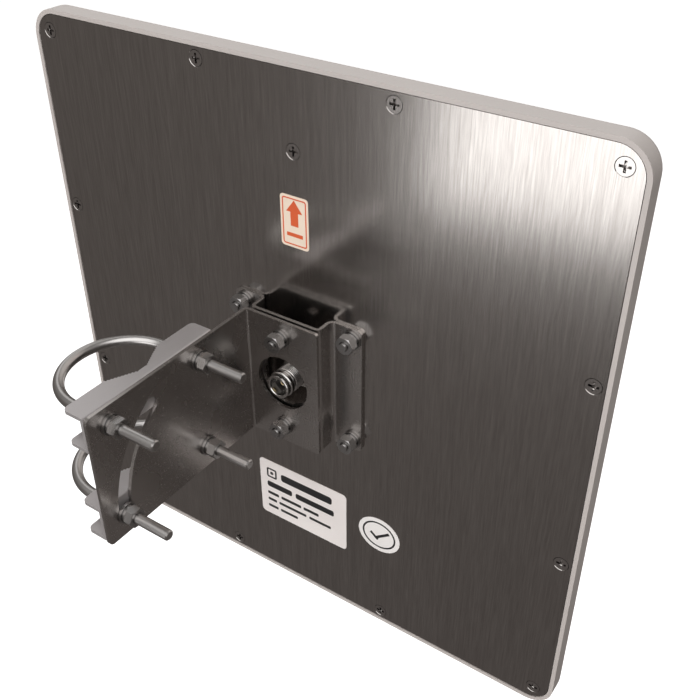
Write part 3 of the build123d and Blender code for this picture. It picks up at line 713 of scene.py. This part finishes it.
def makeConnector():
    low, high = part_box("connector_body")
    c = connectorSet
    k = collarSet
    plateFace = high.y - c["flangeHeight"] - c["plate"]
    tip = plateFace - low.y
    back = -c["plate"] - c["flangeHeight"]
    neck = c["ring"] - c["ringGroove"]
    rings = [
        (c["insulator"], back),
        (c["flange"], back),
        (c["flange"], -c["plate"]),
        (c["mounting"], -c["plate"]),
        (c["mounting"], c["mountingTop"]),
        (c["root"], c["rootStart"]),
        (c["root"], tip - k["grooveBack"]),
        (c["root"] - k["grooveDepth"], tip - k["grooveFloorBack"]),
        (c["root"] - k["grooveDepth"], tip - k["grooveFloorFront"]),
        (c["thread"], tip - k["collarBack"]),
        (c["thread"], tip - k["collarFront"]),
        (c["thread"] - c["ringGroove"], tip - k["bevelFront"]),
        (neck, tip - k["neckBack"]),
        (neck, tip - k["neckFront"]),
        (c["ring"], tip - k["ringBack"]),
        (c["ring"], tip - k["ringFront"]),
        (c["ring"] - c["lip"], tip - c["lip"]),
        (neck, tip),
        (c["bore"] + k["boreBevel"], tip),
        (c["bore"], tip - k["boreBevel"]),
        (c["bore"], tip - c["boreDepth"]),
        (c["insulator"], tip - c["boreDepth"]),
        (c["insulator"], back),
    ]
    barrel = turnRings("connectorBarrel", rings, 64, solid=False)
    ridgeLength = tip - c["ridgeShort"]
    ridge = threadRidge(
        "connectorThread", c["root"], c["thread"], c["pitch"], c["ridgeStart"], ridgeLength, steps=40
    )
    barrel = joinPieces("connectorBarrel", [barrel, ridge])
    middle = ((low.x + high.x) / 2, plateFace, (low.z + high.z) / 2)
    applyPlace(barrel, alongAxis(middle, (0, -1, 0)))
    smoothByAngle(barrel, 40)
    paint(barrel, "connectorNickel")
    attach(barrel, "antenna")
    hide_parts("connector_body")


makeConnector()
print("connector ready")

# printing on the labels

inkSet = {"thickness": 0.03 * mm, "lift": 0.002 * mm}


def inkPlane(name, width, height, cornerRadius=0.0):
    # a flat shape in the X, Z plane, centred on the origin
    clearSelection()
    bpy.ops.mesh.primitive_plane_add(size=1, rotation=(math.pi / 2, 0, 0))
    shape = bpy.context.object
    shape.name = name
    shape.scale = (width, height, 1)
    bpy.ops.object.transform_apply(location=True, rotation=True, scale=True)
    if cornerRadius > 0:
        bpy.ops.object.mode_set(mode="EDIT")
        bpy.ops.mesh.select_all(action="SELECT")
        bpy.ops.mesh.bevel(offset=cornerRadius, offset_type="OFFSET", segments=6, affect="VERTICES")
        bpy.ops.object.mode_set(mode="OBJECT")
    return shape


def inkFinish(shape):
    startEdit(shape)
    bpy.ops.mesh.select_all(action="SELECT")
    bpy.ops.mesh.extrude_region_move(TRANSFORM_OT_translate={"value": (0, -inkSet["thickness"], 0)})
    finishEdit(0.0000005)
    return shape


def cutMiddle(shape, border):
    startEdit(shape)
    bpy.ops.mesh.select_all(action="SELECT")
    bpy.ops.mesh.inset(thickness=border, depth=0)
    bpy.ops.mesh.delete(type="FACE")
    bpy.ops.object.mode_set(mode="OBJECT")
    return shape


def placeInk(name, parts, labelName, finishName):
    low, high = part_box(labelName)
    centre = Vector(((low.x + high.x) / 2, low.y - inkSet["lift"], (low.z + high.z) / 2))
    ink = joinPieces(name, parts)
    applyPlace(ink, Matrix.Translation(centre))
    paint(ink, finishName)
    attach(ink, "antenna")


def moved(shape, x, z):
    applyPlace(shape, Matrix.Translation((x, 0, z)))
    return shape


def makeArrow(name, shaftWidth, shaftHeight, headWidth, headHeight):
    arrow = inkPlane(name, shaftWidth, shaftHeight)
    startEdit(arrow)
    pickEdges(arrow, lambda edge: all(vertex.co.z > shaftHeight / 2 - 1e-6 for vertex in edge.verts))
    shaftTop = (0, 0, shaftHeight / 2)
    headTop = (0, 0, shaftHeight / 2 + headHeight)
    bpy.ops.mesh.extrude_region_move(TRANSFORM_OT_translate={"value": (0, 0, 0)})
    bpy.ops.transform.resize(value=(headWidth / shaftWidth, 1, 1), center_override=shaftTop)
    bpy.ops.mesh.extrude_region_move(TRANSFORM_OT_translate={"value": (0, 0, headHeight)})
    bpy.ops.transform.resize(value=(0.002, 1, 1), center_override=headTop)
    bpy.ops.mesh.select_all(action="SELECT")
    bpy.ops.mesh.remove_doubles(threshold=0.00002)
    bpy.ops.object.mode_set(mode="OBJECT")
    return arrow


upPrint = {
    "border": (15.6 * mm, 27.4 * mm),
    "corner": 1.6 * mm,
    "line": 0.75 * mm,
    "shaft": (5.0 * mm, 8.0 * mm),
    "head": (10.6 * mm, 7.0 * mm),
    "arrowHeight": 1.6 * mm,
    "bar": (10.4 * mm, 2.2 * mm),
    "barCorner": 0.3 * mm,
    "barHeight": -7.6 * mm,
}
border = inkFinish(cutMiddle(inkPlane("upBorder", *upPrint["border"], upPrint["corner"]), upPrint["line"]))
arrow = inkFinish(makeArrow("upArrow", *upPrint["shaft"], *upPrint["head"]))
bar = inkFinish(inkPlane("upBar", *upPrint["bar"], upPrint["barCorner"]))
upPieces = [border, moved(arrow, 0, upPrint["arrowHeight"]), moved(bar, 0, upPrint["barHeight"])]
placeInk("upLabelPrint", upPieces, "up_label", "redInk")

# bars for words: the left end, the height, the bar's width, and each length with the gap after it
dataRows = [
    {"left": -17.0, "height": 13.2, "bar": 6.0, "words": [(40.0, 0.0)]},
    {"left": -28.5, "height": 3.2, "bar": 4.6, "words": [(20.0, 3.0), (30.0, 0.0)]},
    {"left": -28.5, "height": -4.6, "bar": 2.4, "words": [(9.0, 2.0), (16.0, 2.0), (12.0, 0.0)]},
    {"left": -28.5, "height": -10.4, "bar": 2.2, "words": [(7.0, 2.0), (22.0, 2.5), (17.0, 0.0)]},
    {"left": -28.5, "height": -16.2, "bar": 2.2, "words": [(8.0, 2.0), (14.0, 0.0)]},
]
dataMark = {"size": 8.0 * mm, "corner": 1.4 * mm, "line": 1.3 * mm, "dot": 2.6 * mm, "dotCorner": 1.2 * mm,
            "place": (-24.5 * mm, 13.2 * mm)}
mark = inkFinish(cutMiddle(inkPlane("dataMark", dataMark["size"], dataMark["size"], dataMark["corner"]),
                           dataMark["line"]))
dot = inkFinish(inkPlane("dataDot", dataMark["dot"], dataMark["dot"], dataMark["dotCorner"]))
dataPieces = [moved(mark, *dataMark["place"]), moved(dot, *dataMark["place"])]
for row in dataRows:
    x = row["left"]
    barWidth = row["bar"] * mm
    for number, (length, gap) in enumerate(row["words"]):
        word = inkFinish(inkPlane(f"dataBar{number}", length * mm, barWidth, barWidth * 0.3))
        dataPieces.append(moved(word, (x + length / 2) * mm, row["height"] * mm))
        x += length + gap
placeInk("dataLabelPrint", dataPieces, "data_label", "blackInk")

stickerSet = {
    "halfWidth": 11.9 * mm,
    "halfHeight": 10.5 * mm,
    "line": 1.2 * mm,
    "strokeWidth": 1.9 * mm,
    # each stroke of the tick: its length, its slant in degrees and its place
    "strokes": ((7.0 * mm, -50, -3.4 * mm, -1.9 * mm), (12.6 * mm, 52, 2.2 * mm, 0.4 * mm)),
}


def makeOvalRing(name, halfWidth, halfHeight, width):
    clearSelection()
    bpy.ops.mesh.primitive_circle_add(vertices=64, radius=1, fill_type="NGON", rotation=(math.pi / 2, 0, 0))
    ring = bpy.context.object
    ring.name = name
    ring.scale = (halfWidth, halfHeight, 1)
    bpy.ops.object.transform_apply(location=True, rotation=True, scale=True)
    return inkFinish(cutMiddle(ring, width))


def makeTick(name):
    strokes = []
    for length, slant, x, z in stickerSet["strokes"]:
        stroke = inkPlane(name, stickerSet["strokeWidth"], length)
        turn = Matrix.Rotation(math.radians(slant), 4, "Y")
        applyPlace(stroke, Matrix.Translation((x, 0, z)) @ turn)
        strokes.append(inkFinish(stroke))
    return strokes


ovalRing = makeOvalRing("stickerRing", stickerSet["halfWidth"], stickerSet["halfHeight"], stickerSet["line"])
placeInk("stickerPrint", [ovalRing] + makeTick("stickerTick"), "inspection_sticker", "blackInk")
print("printing ready")
